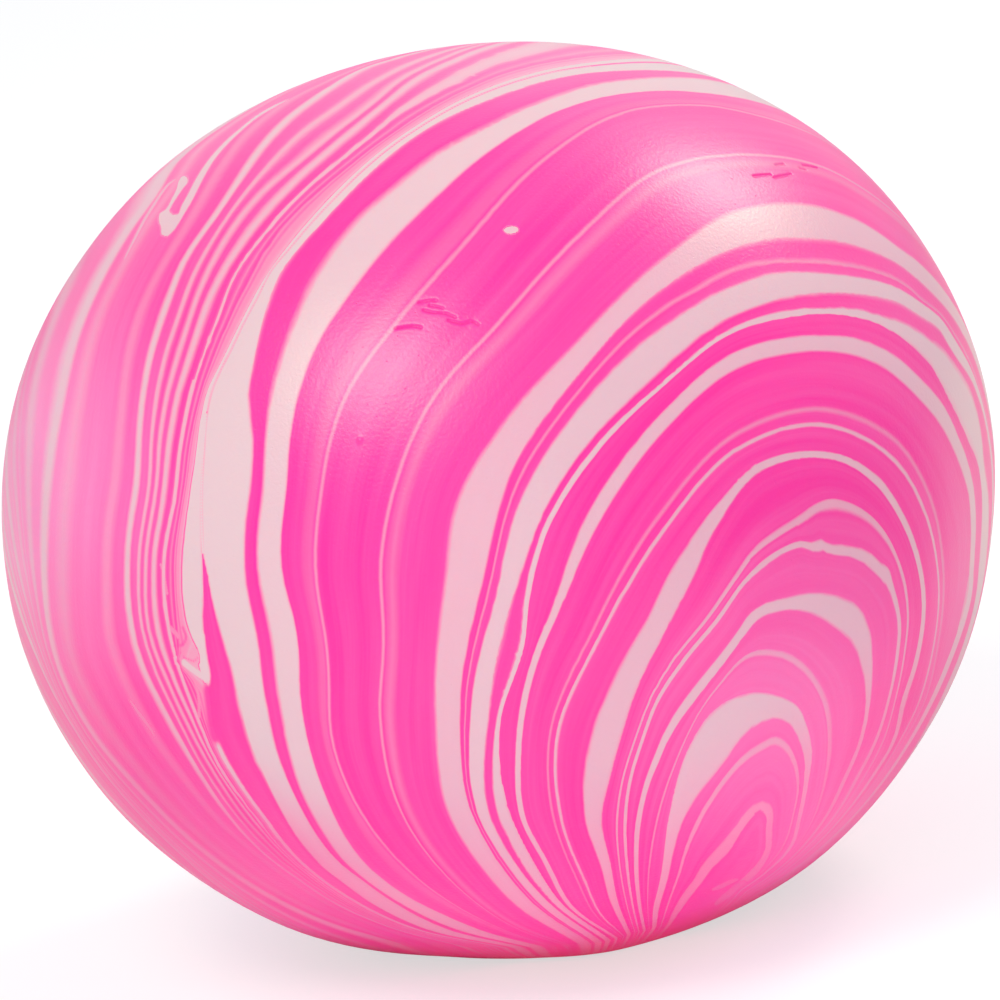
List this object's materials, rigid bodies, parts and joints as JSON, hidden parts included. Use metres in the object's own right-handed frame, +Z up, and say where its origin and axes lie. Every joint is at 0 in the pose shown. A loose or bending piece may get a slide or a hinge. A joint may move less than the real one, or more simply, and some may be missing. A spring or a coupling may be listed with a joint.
{
  "type": "squishy ball",
  "caption": "Soft squeeze ball: a marbled rubber skin filled with dough and closed by a glued stopper, sitting on its sagged flat patch.",
  "frame": {"origin": "centre of the flat patch that the ball rests on", "axes": "+Z up through the crown; -Y towards the viewer of the picture, before the camera's tilt"},
  "size_m": [0.067, 0.067, 0.0595],
  "materials": {
    "marbled_rubber": "satin",
    "dough": "matte",
    "stopper_rubber": "satin",
    "glue": "gloss"
  },
  "bodies": {
    "ball": {"skin": "marbled_rubber", "stopper": "stopper_rubber", "stopper_glue": "glue"},
    "core": {"filling": "dough"}
  },
  "joints": [
    {"name": "squeeze", "type": "slide", "parent": "ball", "child": "core", "axis": [0, 0, -1], "range_m": [0, 0.012], "stiffness_N_per_m": 2000, "springref_m": -0.002, "deforming": ["skin", "filling"]}
  ]
}
